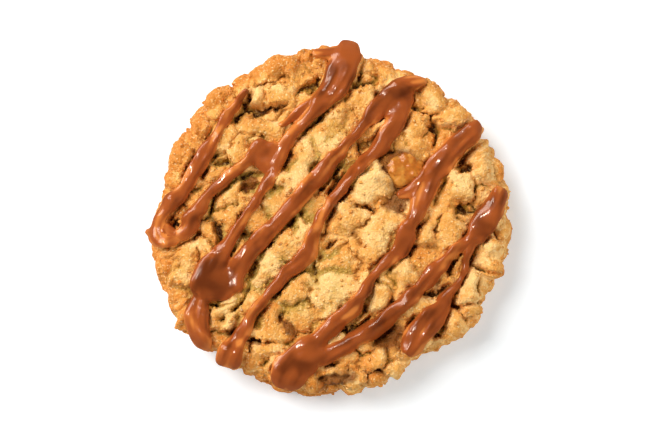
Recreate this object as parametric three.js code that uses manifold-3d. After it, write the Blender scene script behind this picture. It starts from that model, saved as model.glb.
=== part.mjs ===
// A caramel apple cookie: a thick round of dough that baked into plates and crags,
// with soft caramel drizzled over it in slanting strands that run off its rim.
// Millimetres, +Z up. The origin is the centre of the flat underside.
import * as THREE from "three";
import { mergeVertices } from "three/addons/utils/BufferGeometryUtils.js";
import Module from "manifold-3d";

const wasm = await Module();
wasm.setup();

// The round of dough under the crags.
const DOUGH_RADIUS = 45.2;
const CROWN_HEIGHT = 12;
const SHOULDER_HEIGHT = 11;
const SHOULDER_WIDTH = 2.2;
const SHOULDER_BULGE = { out: 0.75, top: 0.96, side: 0.82 };
const BELLY_HEIGHT = 4.5;
const HEEL_WIDTH = 1.8;

// Where the rim spread out or stayed in as it baked: angle and spread in degrees, and how far.
const RIM_SWELLS = [
  [5, 35, 1.3],
  [30, 10, 1],
  [45, 10, -0.5],
  [65, 18, -1],
  [95, 16, 0.8],
  [120, 15, -1.2],
  [162, 20, -1.4],
  [190, 7, 0.5],
  [215, 22, 1.7],
  [241, 13, -0.9],
  [272, 14, -1.2],
  [302, 12, -3.3],
  [350, 9, 0.4],
];
const SWELL_REACH_POWER = 6;

// Crags rise above that round, the wide ones most.
const CRAG_LEAST_RISE = 2;
const CRAG_RISE_PER_WIDTH = 0.33;
const CRAG_WOBBLE = 0.6;
const WOBBLE_LENGTH = 1.2;
const WOBBLE_DRIFT = 2.7;
const CRAG_SHOULDER_POWER = 3.2;
const CRAG_SOFTNESS = 0.8;
const WALL_CRAG_SHARE = 0.5;

// Caramel: how high a bead stands for its width.
const BEAD_LEAST_HEIGHT = 0.7;
const BEAD_HEIGHT_PER_WIDTH = 0.2;
const POOL_HEIGHT = 2.4;
const POOL_DEPTH = 4;
const BEAD_SIT_RADIUS = 2.2;
const RIM_CARRY = 2.4;
const BEAD_KEEL_DEPTH = 2;
const BEAD_KEEL_WIDTH = 0.55;
const BEAD_KEEL_START = 0.1;
const BEAD_TIP = 0.3;

// How finely the surfaces are faceted.
const DOUGH_DETAIL = 16;
const UNDERSIDE_WEIGHT = 0.06;
const PROFILE_STEPS = 240;
const STRAND_STEP = 3.3;
const STRAND_SIDES = 8;
const STRAND_LEAST_STEPS = 4;
const POOL_SIDES = 12;
const POOL_RINGS = 8;

// Plates and crags that show most, row by row from the far rim: x, y, length, width, turn of the length.
const MAIN_CRAGS = [
  [-13.5, 41, 16, 6, 20],
  [-4, 41.5, 7.5, 7, 0],
  [11, 39, 10, 5, -15],
  [-28, 32, 7.5, 6.5, 45],
  [-19, 34, 6, 6, 0],
  [-12.5, 33.5, 8, 7, 0],
  [3, 29, 6, 6, 0],
  [9, 31.5, 10, 6, 55],
  [27, 32, 10, 8, -30],
  [31.5, 27, 9, 6.5, -25],
  [-17.5, 24.5, 12, 6, 0],
  [-23, 19.5, 8, 4.5, 60],
  [-1.5, 20.5, 9, 7, 40],
  [12, 24.5, 6, 4.5, 30],
  [22.5, 25, 8, 7, 70],
  [24, 19.5, 8, 5, -20],
  [-8.5, 13.5, 17, 8.5, 64],
  [20.5, 13.5, 9, 8, 20],
  [40, 13.5, 8, 6, 100],
  [-23, 6.5, 5.5, 3.5, 20],
  [10, 9.5, 12, 9.5, 60],
  [33, 8, 8, 7, 50],
  [-25.5, 1, 8, 4, 65],
  [5, 1.5, 9, 6.5, 30],
  [-12, -7, 19, 7.5, 52],
  [13.5, -2.5, 16, 7.5, 50],
  [25, -4, 11, 4, 58],
  [31.5, -2.5, 8, 7.5, 60],
  [-38.5, -9.5, 9, 7, 60],
  [2.5, -10.5, 9, 6, -20],
  [20, -13.5, 12, 7.5, 40],
  [-8, -18.5, 8, 5, 20],
  [3, -18.5, 14, 9, 20],
  [12.5, -19.5, 7, 6.5, 70],
  [36.5, -18.5, 8, 7, 40],
  [-22.5, -22.5, 9, 5, 55],
  [-29.5, -26, 8, 4.5, 10],
  [-14.5, -27, 10, 9, 80],
  [22, -24, 7, 4, 45],
  [32, -27, 8, 6, 80],
  [-16.5, -35, 9, 6, -10],
  [12, -36.5, 9, 6, 30],
  [8, -41, 8, 6, 10],
];

// Smaller crags crowd the rim and fill the gaps, by a seeded rule.
const RIM_CRAGS = 36;
const RIM_CRAG_STRAY = 0.6;
const RIM_INSET = [1.6, 3.6];
const RIM_CRAG_LENGTH = [5.5, 9];
const RIM_CRAG_WIDTH = [4.5, 6.5];
const RIM_CRAG_SINK = [0, 1.6];
const GAP_CRAGS = 150;
const GAP_CRAG_LENGTH = [3.5, 6.5];
const GAP_CRAG_SLIMNESS = [0.6, 0.95];
const GAP_CRAG_SINK = [1, 2.4];
const GAP_REACH = 0.95;
const CRAG_SEED = 20261;

// Caramel strands, each from end to end: x, y and width of the bead.
const STRANDS = {
  westRun: [
    [-21.8, 34.5, 2], [-27.5, 26, 2.7], [-33.4, 16.9, 4.9], [-38.2, 8.8, 3.5], [-43, 3.5, 4.4],
    [-45.2, -1, 5.2], [-43.8, -4.8, 4.6], [-39.5, -4.6, 3],
  ],
  westReturn: [
    [-39.5, -4.6, 3], [-36.3, 0.6, 4.7], [-32, 6.5, 3.1], [-27, 11.5, 3.3], [-19.5, 18, 6.4],
    [-16.4, 20.2, 6],
  ],
  northRun: [
    [5.4, 46.8, 8], [2.1, 37, 7.8], [-4, 29, 4], [-10.5, 21.5, 3.1], [-14.3, 14.3, 4.6],
    [-19, 5.5, 3.1], [-25.3, -3.8, 3.2], [-28.6, -9, 5.4], [-30.8, -14.4, 10.6], [-31.4, -20.8, 11.4],
  ],
  northReturn: [
    [-25.6, -19, 7], [-24.4, -13.4, 6], [-18.1, -4.9, 4.8], [-9, 4.5, 4.2], [-2, 12.5, 4.8],
    [5.5, 21.5, 3], [13.8, 31, 5.6], [19.5, 35.6, 5.4], [25.4, 37, 2.4],
  ],
  middleRun: [
    [20.4, 34, 4.6], [17.5, 27.2, 5.4], [12.5, 19, 5], [5.5, 12, 3.2], [-0.5, 3.5, 2.7],
    [-3.6, -3, 3.7], [-6, -9, 5.2], [-12, -14.5, 3.1], [-18.5, -22.5, 3.2], [-23.2, -30.6, 4.6],
    [-25.8, -34.6, 6.8], [-27.2, -38.2, 7.2],
  ],
  southRun: [
    [39.2, 25.6, 6.4], [31.5, 17.5, 6.6], [25.4, 10, 6.6], [23, 2, 4.8], [19.8, -4.9, 5.4],
    [11.8, -13.4, 2.4], [6.3, -22.6, 4.8], [-1.6, -29.2, 4.8], [-6.2, -33.8, 7.6], [-10.4, -39.4, 9.6],
    [-12.4, -44, 8.4],
  ],
  southReturn: [
    [-4, -36.8, 5], [4.6, -32, 4.5], [11.8, -27.9, 4.8], [20.3, -20.9, 4.1], [28.4, -12.4, 4.2],
    [34, -6.8, 4], [39, -1.5, 6.6], [44.6, 7.4, 4.4],
  ],
  eastSpur: [[37.4, -8.6, 3], [34.5, -14, 2.2], [31.4, -18.9, 3.2], [26, -26.6, 7.2], [21, -34.3, 5.8]],
  farThread: [[-1.5, 34.5, 1.6], [-7.5, 28.8, 1.6], [-13, 23.5, 1.4]],
  westTip: [[-44.6, -2.8, 3.6], [-47.2, -2.2, 1.6]],
  westDrip: [[-34, -18.5, 4.4], [-34.4, -23.4, 4.6], [-36, -28, 5.6], [-36.6, -31, 3]],
  westFall: [[-34.6, -25, 3.6], [-33.6, -29.4, 4.8], [-32.4, -33.4, 3.4]],
  northSmear: [[-4, 43.6, 1.6], [-1, 44.4, 2.6], [3, 45.4, 4]],
  eastSmear: [[42.2, 20.4, 1.3], [43.8, 17.4, 2], [44.6, 13.4, 1.4]],
};

// Pools where a strand turns back or two run together: x, y, length, width, turn of the length.
const POOLS = [
  [-27.8, -16.2, 9.4, 8.2, 10],
  [-4.8, -35.2, 10, 7, 42],
  [-17.6, 17.2, 9.5, 6.4, 75],
  [17.8, 31.4, 10, 6.6, 62],
  [4.6, 44, 8.4, 7, 90],
];

// The middle of the finished outline in the coordinates of these lists, which goes to the origin.
const OUTLINE_MIDDLE = [0.2, 1.75];

// The same small generator on every machine, from 0 to 1.
function seededRandom(seed) {
  let state = seed >>> 0;
  return () => {
    state = (Math.imul(state, 1664525) + 1013904223) >>> 0;
    return state / 2 ** 32;
  };
}

// Half a section of the round, from the middle of its crown over the rim to the middle of its underside.
function doughProfile() {
  const path = new THREE.Path();
  const shoulder = DOUGH_RADIUS - SHOULDER_WIDTH;
  path.moveTo(0, CROWN_HEIGHT);
  path.quadraticCurveTo(shoulder / 2, CROWN_HEIGHT, shoulder, SHOULDER_HEIGHT);
  path.bezierCurveTo(
    shoulder + SHOULDER_WIDTH * SHOULDER_BULGE.out, SHOULDER_HEIGHT * SHOULDER_BULGE.top,
    DOUGH_RADIUS, SHOULDER_HEIGHT * SHOULDER_BULGE.side,
    DOUGH_RADIUS, BELLY_HEIGHT,
  );
  path.quadraticCurveTo(DOUGH_RADIUS, 0, DOUGH_RADIUS - HEEL_WIDTH, 0);
  path.lineTo(0, 0);
  return path.getSpacedPoints(PROFILE_STEPS);
}

const profile = doughProfile();

// How much of the surface lies inside each profile point, from 0 to 1.
// The plain underside counts for little.
function surfaceShares() {
  const areas = [0];
  for (let i = 1; i < profile.length; i++) {
    const [a, b] = [profile[i - 1], profile[i]];
    const weight = a.y === 0 && b.y === 0 ? UNDERSIDE_WEIGHT : 1;
    areas.push(areas[i - 1] + (a.x + b.x) * a.distanceTo(b) * weight);
  }
  return areas.map((area) => area / areas.at(-1));
}

const shares = surfaceShares();

// The profile's point and outward direction where the given share of the surface lies inside it.
function profileAt(share) {
  const next = Math.max(1, shares.findIndex((s) => s >= share));
  const part = (share - shares[next - 1]) / (shares[next] - shares[next - 1]);
  const point = profile[next - 1].clone().lerp(profile[next], part);
  const along = profile[next].clone().sub(profile[next - 1]).normalize();
  return { point, outward: new THREE.Vector2(-along.y, along.x) };
}

// How far the rim's swells move a place outwards: fully at the rim, and hardly at all inside it.
function swellAt(around, radius) {
  let swell = 0;
  for (const [angle, spread, far] of RIM_SWELLS) {
    const apart = THREE.MathUtils.euclideanModulo(THREE.MathUtils.radToDeg(around) - angle + 180, 360) - 180;
    swell += far * Math.exp(-((apart / spread) ** 2));
  }
  return swell * (radius / DOUGH_RADIUS) ** SWELL_REACH_POWER;
}

// Level of the dough round at a place, crags left out.
function roundHeight(x, y) {
  const reach = Math.hypot(x, y);
  const radius = reach - swellAt(Math.atan2(y, x), Math.min(reach, DOUGH_RADIUS));
  const outside = profile.findIndex((p) => p.x >= radius || p.y <= BELLY_HEIGHT);
  if (outside < 1) return CROWN_HEIGHT;
  const [a, b] = [profile[outside - 1], profile[outside]];
  return b.x > radius ? THREE.MathUtils.mapLinear(radius, a.x, b.x, a.y, b.y) : BELLY_HEIGHT;
}

function crag(x, y, length, width, turn, sink = 0) {
  const angle = THREE.MathUtils.degToRad(turn);
  const rise = CRAG_LEAST_RISE + CRAG_RISE_PER_WIDTH * width - sink;
  return { x, y, length, width, rise, cos: Math.cos(angle), sin: Math.sin(angle) };
}

function allCrags() {
  const random = seededRandom(CRAG_SEED);
  const between = ([low, high]) => low + (high - low) * random();
  const crags = MAIN_CRAGS.map((row) => crag(...row));
  for (let i = 0; i < RIM_CRAGS; i++) {
    const angle = (360 / RIM_CRAGS) * (i + RIM_CRAG_STRAY * random());
    const around = THREE.MathUtils.degToRad(angle);
    const radius = DOUGH_RADIUS + swellAt(around, DOUGH_RADIUS) - between(RIM_INSET);
    const [x, y] = [radius * Math.cos(around), radius * Math.sin(around)];
    const [length, width] = [between(RIM_CRAG_LENGTH), between(RIM_CRAG_WIDTH)];
    crags.push(crag(x, y, length, width, angle + 90, between(RIM_CRAG_SINK)));
  }
  const goldenAngle = Math.PI * (3 - Math.sqrt(5));
  for (let i = 0; i < GAP_CRAGS; i++) {
    const radius = DOUGH_RADIUS * GAP_REACH * Math.sqrt((i + random()) / GAP_CRAGS);
    const angle = goldenAngle * i;
    const length = between(GAP_CRAG_LENGTH);
    const width = length * between(GAP_CRAG_SLIMNESS);
    const [x, y] = [radius * Math.cos(angle), radius * Math.sin(angle)];
    crags.push(crag(x, y, length, width, 180 * random(), between(GAP_CRAG_SINK)));
  }
  return crags;
}

const crags = allCrags();

// A wavy shift, so that no crag is a plain oval.
function wobble(along, across) {
  return CRAG_WOBBLE * Math.sin(along / WOBBLE_LENGTH + 2 * Math.sin(across / WOBBLE_DRIFT));
}

// Height of the highest crag over the round at a place.
function cragHeight(x, y) {
  const px = x + wobble(y, x);
  const py = y + wobble(x, y);
  let highest = 0;
  for (const c of crags) {
    const along = ((px - c.x) * c.cos + (py - c.y) * c.sin) / (c.length / 2);
    const across = ((py - c.y) * c.cos - (px - c.x) * c.sin) / (c.width / 2);
    const reach = Math.hypot(along, across);
    if (reach < 1) highest = Math.max(highest, c.rise * (1 - reach ** CRAG_SHOULDER_POWER));
  }
  return highest;
}

// The mean of a value at a place and at eight places around it.
function meanAround(value, x, y, radius) {
  let sum = value(x, y);
  for (let turn = 0; turn < 8; turn++) {
    const angle = (turn * Math.PI) / 4;
    sum += value(x + radius * Math.cos(angle), y + radius * Math.sin(angle));
  }
  return sum / 9;
}

const relief = (x, y) => meanAround(cragHeight, x, y, CRAG_SOFTNESS);
const doughTop = (x, y) => roundHeight(x, y) + relief(x, y);

// A closed three.js geometry as a solid that can be joined to another.
function solidOf(geometry) {
  geometry.deleteAttribute("normal");
  geometry.deleteAttribute("uv");
  const merged = mergeVertices(geometry);
  return new wasm.Manifold(
    new wasm.Mesh({
      numProp: 3,
      vertProperties: merged.attributes.position.array,
      triVerts: new Uint32Array(merged.index.array),
    }),
  );
}

// A ball of dough that is pressed out to the round's section and pushed up and out into crags.
function doughSolid() {
  const ball = new THREE.IcosahedronGeometry(1, DOUGH_DETAIL);
  ball.deleteAttribute("normal");
  ball.deleteAttribute("uv");
  const geometry = mergeVertices(ball);
  const position = geometry.attributes.position;
  const spot = new THREE.Vector3();
  for (let i = 0; i < position.count; i++) {
    spot.fromBufferAttribute(position, i);
    const around = Math.atan2(spot.y, spot.x);
    const { point, outward } = profileAt(THREE.MathUtils.clamp((1 - spot.z) / 2, 0, 1));
    const [cos, sin] = [Math.cos(around), Math.sin(around)];
    const swollen = point.x + swellAt(around, point.x);
    const rise = point.y > 0 ? relief(swollen * cos, swollen * sin) : 0;
    const push = rise * THREE.MathUtils.smoothstep(point.y, 0, BELLY_HEIGHT);
    const radius = swollen + push * outward.x * WALL_CRAG_SHARE;
    position.setXYZ(i, radius * cos, radius * sin, point.y + push * Math.max(0, outward.y));
  }
  return solidOf(geometry);
}

// A place under caramel, brought in to where the top of the rim still carries what hangs over it.
function carriedPlace(x, y) {
  const around = Math.atan2(y, x);
  const farthest = DOUGH_RADIUS + swellAt(around, DOUGH_RADIUS) - RIM_CARRY;
  const share = Math.min(1, farthest / Math.hypot(x, y));
  return [x * share, y * share];
}

// Level that caramel settles to: the mean of the dough around it, or the dough under it if that is higher.
function beadLevel(x, y) {
  const place = carriedPlace(x, y);
  return Math.max(meanAround(doughTop, ...place, BEAD_SIT_RADIUS), doughTop(...place));
}

// One strand: a cylinder bent along its line, round above, with a keel that sinks into the dough.
function strandSolid(stations) {
  const line = new THREE.CatmullRomCurve3(stations.map((s) => new THREE.Vector3(...s)), false, "centripetal");
  const length = line.getLength();
  const steps = Math.max(STRAND_LEAST_STEPS, Math.round(length / STRAND_STEP));
  const rings = [];
  for (let i = 0; i <= steps; i++) {
    const { x, y, z: width } = line.getPointAt(i / steps);
    const heading = line.getTangentAt(i / steps).setZ(0).normalize();
    const toEnd = Math.min(i, steps - i) * (length / steps);
    const rounding = Math.sqrt(1 - Math.max(0, 1 - (toEnd + BEAD_TIP) / (width / 2)) ** 2);
    const keel = roundHeight(...carriedPlace(x, y)) - BEAD_KEEL_DEPTH;
    const [half, level] = [(width / 2) * rounding, beadLevel(x, y)];
    rings.push({ x, y, heading, half, level, keel, rounding, width });
  }
  const geometry = new THREE.CylinderGeometry(1, 1, 1, STRAND_SIDES, steps);
  const position = geometry.attributes.position;
  for (let i = 0; i < position.count; i++) {
    const ring = rings[Math.round((position.getY(i) + 0.5) * steps)];
    const [side, up] = [position.getX(i), position.getZ(i)];
    const height = (BEAD_LEAST_HEIGHT + BEAD_HEIGHT_PER_WIDTH * ring.width) * ring.rounding;
    const z = up >= 0 ? ring.level + up * height : ring.level + up * (ring.level - ring.keel);
    const offset = side * ring.half * (up < -BEAD_KEEL_START ? BEAD_KEEL_WIDTH : 1);
    position.setXYZ(i, ring.x + ring.heading.y * offset, ring.y - ring.heading.x * offset, z);
  }
  return solidOf(geometry);
}

// A flattened drop of caramel, sunk into the dough.
function poolSolid([x, y, length, width, turn]) {
  const geometry = new THREE.SphereGeometry(1, POOL_SIDES, POOL_RINGS);
  geometry.rotateX(Math.PI / 2);
  const position = geometry.attributes.position;
  for (let i = 0; i < position.count; i++) {
    const up = position.getZ(i);
    position.setZ(i, up * (up > 0 ? POOL_HEIGHT : POOL_DEPTH));
  }
  geometry.scale(length / 2, width / 2, 1);
  geometry.rotateZ(THREE.MathUtils.degToRad(turn));
  geometry.translate(x, y, beadLevel(x, y));
  return solidOf(geometry);
}

function geometryOf(solid) {
  const mesh = solid.getMesh();
  const geometry = new THREE.BufferGeometry();
  geometry.setAttribute("position", new THREE.BufferAttribute(mesh.vertProperties, 3));
  geometry.setIndex(new THREE.BufferAttribute(mesh.triVerts, 1));
  geometry.computeVertexNormals();
  return geometry;
}

// The caramel set onto the dough, so that the cookie is one piece, centred over the origin.
// Small pockets that a strand shuts in over a gap are filled: only the outer skin is kept.
function cookieGeometry() {
  const caramel = [...Object.values(STRANDS).map(strandSolid), ...POOLS.map(poolSolid)];
  const joined = caramel.reduce((whole, piece) => whole.add(piece), doughSolid());
  const [outerSkin] = joined.decompose().sort((a, b) => b.volume() - a.volume());
  const [x, y] = OUTLINE_MIDDLE;
  return geometryOf(outerSkin).translate(-x, -y, 0);
}

const bakedDough = new THREE.MeshStandardMaterial({ color: 0xe6a95f, roughness: 0.85, metalness: 0 });

const cookie = new THREE.Mesh(cookieGeometry(), bakedDough);
cookie.name = "cookie";

const part = new THREE.Group();
part.add(cookie);
export default part;
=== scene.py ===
import math

import bmesh
import bpy
import numpy as np
from mathutils import Matrix, Vector, noise
from mathutils.bvhtree import BVHTree
from mathutils.kdtree import KDTree


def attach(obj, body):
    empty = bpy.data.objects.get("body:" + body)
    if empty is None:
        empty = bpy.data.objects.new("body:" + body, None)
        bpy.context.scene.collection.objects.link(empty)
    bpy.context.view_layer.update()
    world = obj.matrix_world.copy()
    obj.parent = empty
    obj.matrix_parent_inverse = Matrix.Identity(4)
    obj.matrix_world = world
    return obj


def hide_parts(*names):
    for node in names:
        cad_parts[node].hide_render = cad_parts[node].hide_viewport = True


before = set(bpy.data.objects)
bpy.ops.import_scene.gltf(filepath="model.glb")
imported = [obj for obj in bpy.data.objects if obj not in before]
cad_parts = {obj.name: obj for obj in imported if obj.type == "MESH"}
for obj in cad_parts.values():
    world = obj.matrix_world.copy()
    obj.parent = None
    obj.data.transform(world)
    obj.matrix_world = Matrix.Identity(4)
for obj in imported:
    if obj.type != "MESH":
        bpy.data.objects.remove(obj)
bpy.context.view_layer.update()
mm = 0.001  # every piece is modelled in millimetres and scaled to metres when it is done


# the round of dough, its crags and the caramel's route, as in the solid but with finer strands
cookieForm = {
    "radius": 45.2,
    "crownHeight": 12,
    "shoulderHeight": 11,
    "shoulderWidth": 2.2,
    "shoulderBulge": {"out": 0.75, "top": 0.96, "side": 0.82},
    "bellyHeight": 4.5,
    "heelWidth": 1.8,
    "swells": [  # where the rim spread out or stayed in: angle and spread in degrees, how far
        (5, 35, 1.3), (30, 10, 1), (45, 10, -0.5), (65, 18, -1), (95, 16, 0.8), (120, 15, -1.2),
        (162, 20, -1.4), (190, 7, 0.5), (215, 22, 1.7), (241, 13, -0.9), (272, 14, -1.2), (302, 12, -3.3),
        (350, 9, 0.4),
    ],
    "swellPower": 6,
    "middle": (0.2, 1.75),  # middle of the outline in these lists, which goes to the origin
}

# plates and crags that show most: x, y, length, width, turn, tone from pale to toasted
cragRows = [
    (-13.5, 41, 16, 6, 20, 0.75), (-4, 41.5, 7.5, 7, 0, 0.55), (11, 39, 10, 5, -15, 0.6),
    (-28, 32, 7.5, 6.5, 45, 0.6), (-19, 34, 6, 6, 0, 0.45), (-12.5, 33.5, 8, 7, 0, 0.5),
    (3, 29, 6, 6, 0, 0.4), (9, 31.5, 10, 6, 55, 0.35), (27, 32, 10, 8, -30, 0.3),
    (31.5, 27, 9, 6.5, -25, 0.35), (-17.5, 24.5, 12, 6, 0, 0.55), (-23, 19.5, 8, 4.5, 60, 0.5),
    (-1.5, 20.5, 9, 7, 40, 0.3), (12, 24.5, 6, 4.5, 30, 0.3), (22.5, 25, 8, 7, 70, 0.45),
    (24, 19.5, 8, 5, -20, 0.45), (-8.5, 13.5, 17, 8.5, 64, 0.2), (40, 13.5, 8, 6, 100, 0.2),
    (-23, 6.5, 5.5, 3.5, 20, 0.7), (10, 9.5, 12, 9.5, 60, 0.1), (33, 8, 8, 7, 50, 0.35),
    (-25.5, 1, 8, 4, 65, 0.6), (5, 1.5, 9, 6.5, 30, 0.2), (-12, -7, 19, 7.5, 52, 0.3),
    (13.5, -2.5, 16, 7.5, 50, 0.35), (25, -4, 11, 4, 58, 0.4), (31.5, -2.5, 8, 7.5, 60, 0.4),
    (-38.5, -9.5, 9, 7, 60, 0.6), (2.5, -10.5, 9, 6, -20, 0.75), (20, -13.5, 12, 7.5, 40, 0.25),
    (-8, -18.5, 8, 5, 20, 0.55), (3, -18.5, 14, 9, 20, 0.15), (12.5, -19.5, 7, 6.5, 70, 0.25),
    (36.5, -18.5, 8, 7, 40, 0.2), (-22.5, -22.5, 9, 5, 55, 0.4), (-27.2, -25, 12, 6.5, 15, 0.12),
    (-14.5, -27, 10, 9, 80, 0.6), (22, -24, 7, 4, 45, 0.35), (32, -27, 8, 6, 80, 0.25),
    (-16.5, -35, 9, 6, -10, 0.35), (12, -36.5, 9, 6, 30, 0.45), (8, -41, 8, 6, 10, 0.6),
]

edgeCragRows = [  # more on the left rim, drawn after all others
    (-38.8, -7.6, 9, 4.6, 8, 0.2), (-43.2, -12, 6, 4, 80, 1.1), (-39.4, -14.8, 5.4, 4.4, 20, 0.2),
    (-39.8, -20.6, 6, 4, 65, 0.9), (-37.4, -25.4, 5.4, 3.6, 50, 0.4), (-33.4, 24.4, 6, 4, 50, 0.5),
]

strandRows = {  # caramel strands from end to end: x, y and width of the bead
    "westRun": [
        (-21.8, 34.5, 2), (-27.5, 26, 2.7), (-33.2, 16.8, 4.2), (-38, 8.7, 3.3), (-41.6, 4.5, 4.4),
        (-43.9, 1.6, 4), (-45, -1.2, 4.4), (-45, -3.8, 5.2), (-42.8, -5.3, 4), (-39.6, -4.4, 3),
    ],
    "westReturn": [
        (-40.2, -4.6, 2.6), (-37, -2.2, 4.4), (-35.6, 0.9, 5), (-33.2, 4.6, 3.6), (-30.8, 7.6, 2.6),
        (-27, 11.5, 2.8), (-22, 15, 3.3), (-18.6, 18.2, 4.6), (-17, 21.8, 3.2),
    ],
    "northRun": [
        (5.4, 46.8, 8), (2.1, 37, 7.8), (-4, 29, 4), (-10.5, 21.5, 3.1), (-14.3, 14.3, 4.2),
        (-19, 5.5, 2.8), (-25.3, -3.8, 3.2), (-28.6, -9, 5.4), (-30.8, -14.4, 10.6), (-31.4, -20.8, 11.4),
    ],
    "northReturn": [
        (-25.6, -19, 7), (-24.4, -13.4, 6), (-18.1, -4.9, 4.8), (-9, 4.5, 4.2), (-2, 12.5, 4.8),
        (5.7, 21.3, 2.6), (13.8, 31, 5.6), (19.5, 35.6, 5.4), (25.4, 37, 2.4),
    ],
    "middleRun": [
        (20.4, 34, 4.6), (17.5, 27.2, 5.4), (12.5, 19, 4.5), (5.5, 12, 3.1), (-0.5, 3.5, 2.9),
        (-3.6, -3, 3.7), (-6, -9, 5.2), (-12, -14.5, 3.1), (-18.5, -22.5, 3.2), (-23.2, -30.6, 4.6),
        (-25.8, -34.6, 6.8), (-27.2, -38.2, 7.2),
    ],
    "southRun": [
        (39.4, 25.5, 4.6), (31.6, 17.4, 6.2), (25.6, 10, 6.7), (23.4, 3.4, 4.9), (21, -1.6, 4.2),
        (19, -6.2, 5.2), (14.4, -11, 3.1), (10.6, -15, 2.1), (6.4, -22.6, 4.6), (-1.6, -29.2, 4.3),
        (-6, -34, 7), (-10.4, -39.4, 9.6), (-12.4, -44, 8.4),
    ],
    "southReturn": [
        (-4, -36.8, 5), (4.6, -32, 5), (11.8, -27.9, 5), (20.3, -20.9, 4.1), (28.4, -12.4, 4.2),
        (34, -6.8, 3.4), (39.8, -1.3, 6.8), (43.6, 4.6, 5.6), (45.2, 9, 4.6),
    ],
    "eastSpur": [
        (37, -5.4, 2.4), (35.6, -11.2, 1.8), (34.3, -14.9, 1.7), (31.2, -19.3, 3), (25.4, -27, 7.2),
        (20, -34.8, 5.4),
    ],
    "farThread": [(-1.5, 34.5, 2.2), (-7.2, 29.6, 2.6), (-12.8, 24.8, 1.8)],
    "westTip": [(-44.6, -3.2, 4.4), (-47.2, -2.4, 2.6), (-48.6, -1.9, 1.2)],
    "westFilm": [(-44.4, -0.6, 2.6), (-42.2, -3, 3.4), (-40, -4.2, 2.6)],
    "westDrip": [
        (-33.6, -19.6, 5), (-34.6, -23.4, 6), (-34.4, -27.6, 6.4), (-33, -31.2, 5.4), (-31.6, -33.6, 3.2),
    ],
    "appleTongue": [(27, 12.6, 5), (23.6, 9.6, 5.4), (20.4, 7.6, 4), (17.4, 6.2, 1.8)],
    "northSmear": [(-4.6, 44.2, 2), (-1.4, 44.4, 3.4), (3, 45, 4.4)],
}

# where a strand turns back, two run together or a drop hangs:
# x, y, length, width, turn, share of the height
poolRows = [
    (-29, -16.6, 11.4, 8.6, 10, 1.15), (-5.4, -35.8, 10.6, 7.4, 42, 1.15), (-16.6, 16.8, 9, 6.8, 78, 0.8),
    (17.8, 31.4, 10, 6.6, 62, 0.9), (4.6, 44, 8.4, 7, 90, 0.85), (19.5, -4.7, 7.4, 4.9, 63, 1.15),
    (40.4, -0.2, 8.6, 6.4, 56, 1.1),
]


# small tools for meshes and node trees
randomRule = {"times": 1664525, "plus": 1013904223, "span": 2**32}


def seededRandom(seed):
    rule, state = randomRule, seed
    while True:
        state = (state * rule["times"] + rule["plus"]) % rule["span"]
        yield state / rule["span"]


def meshFrom(name, points, faces):
    mesh = bpy.data.meshes.new(name)
    mesh.from_pydata([tuple(p) for p in points], [], [tuple(f) for f in faces])
    mesh.validate()
    mesh.update()
    return mesh


def newObject(name, data):
    obj = bpy.data.objects.new(name, data)
    bpy.context.scene.collection.objects.link(obj)
    return obj


def pointsOf(mesh, kind, name):
    rows = getattr(mesh, kind)
    flat = np.empty(len(rows) * 3, np.float32)
    rows.foreach_get(name, flat)
    return flat.reshape(-1, 3).astype(float)


def applyModifiers(obj):
    bpy.context.view_layer.update()
    graph = bpy.context.evaluated_depsgraph_get()
    mesh = bpy.data.meshes.new_from_object(obj.evaluated_get(graph))
    obj.modifiers.clear()
    mesh.name = obj.name
    obj.data = mesh
    return mesh


def icoBall(subdivisions):
    ball = bmesh.new()
    bmesh.ops.create_icosphere(ball, subdivisions=subdivisions, radius=1)
    ball.verts.ensure_lookup_table()
    points = np.array([v.co for v in ball.verts])
    faces = np.array([[v.index for v in f.verts] for f in ball.faces])
    ball.free()
    return points, faces


def joinedShells(shells):
    points, faces, start = [], [], 0
    for shellPoints, shellFaces in shells:
        points.append(shellPoints)
        faces.append(shellFaces + start)
        start += len(shellPoints)
    return np.concatenate(points), np.concatenate(faces)


def socketNamed(sockets, name):
    return next(s for s in sockets if s.enabled and name in (s.name, s.identifier))


def feed(tree, socket, value):
    if isinstance(value, bpy.types.NodeSocket):
        tree.links.new(value, socket)
    else:
        socket.default_value = value


def feedAll(tree, sockets, values):
    for name, value in values.items():
        feed(tree, sockets[name], value)


def addNode(tree, kind, inputs=None, **settings):
    node = tree.nodes.new(kind)
    for name, value in settings.items():
        setattr(node, name, value)
    for name, value in (inputs or {}).items():
        feed(tree, socketNamed(node.inputs, name), value)
    return node


def calc(tree, operation, *values):
    node = addNode(tree, "ShaderNodeMath", operation=operation)
    for socket, value in zip(node.inputs, values):
        feed(tree, socket, value)
    return node.outputs["Value"]


def vectorCalc(tree, operation, *values, result="Vector"):
    node = addNode(tree, "ShaderNodeVectorMath", operation=operation)
    sockets = [s for s in node.inputs if s.enabled]
    for socket, value in zip(sockets, values):
        feed(tree, socket, value)
    return socketNamed(node.outputs, result)


def ramp(tree, value, low, high, toLow=0.0, toHigh=1.0):
    node = addNode(tree, "ShaderNodeMapRange", interpolation_type="SMOOTHSTEP")
    for socket, number in zip(node.inputs, (value, low, high, toLow, toHigh)):
        feed(tree, socket, number)
    return node.outputs["Result"]


def noiseAt(tree, vector, length, detail, roughness, result="Fac"):
    inputs = {"Vector": vector, "Scale": 1 / length, "Detail": detail, "Roughness": roughness}
    return socketNamed(addNode(tree, "ShaderNodeTexNoise", inputs).outputs, result)


def cellsAt(tree, vector, length, result="Distance"):
    node = addNode(tree, "ShaderNodeTexVoronoi", {"Vector": vector, "Scale": 1 / length})
    return socketNamed(node.outputs, result)


def centred(tree, value):
    return calc(tree, "SUBTRACT", value, 0.5)


def scaledBy(tree, vector, length):
    return vectorCalc(tree, "SCALE", vector, calc(tree, "DIVIDE", 1.0, length))


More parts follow.
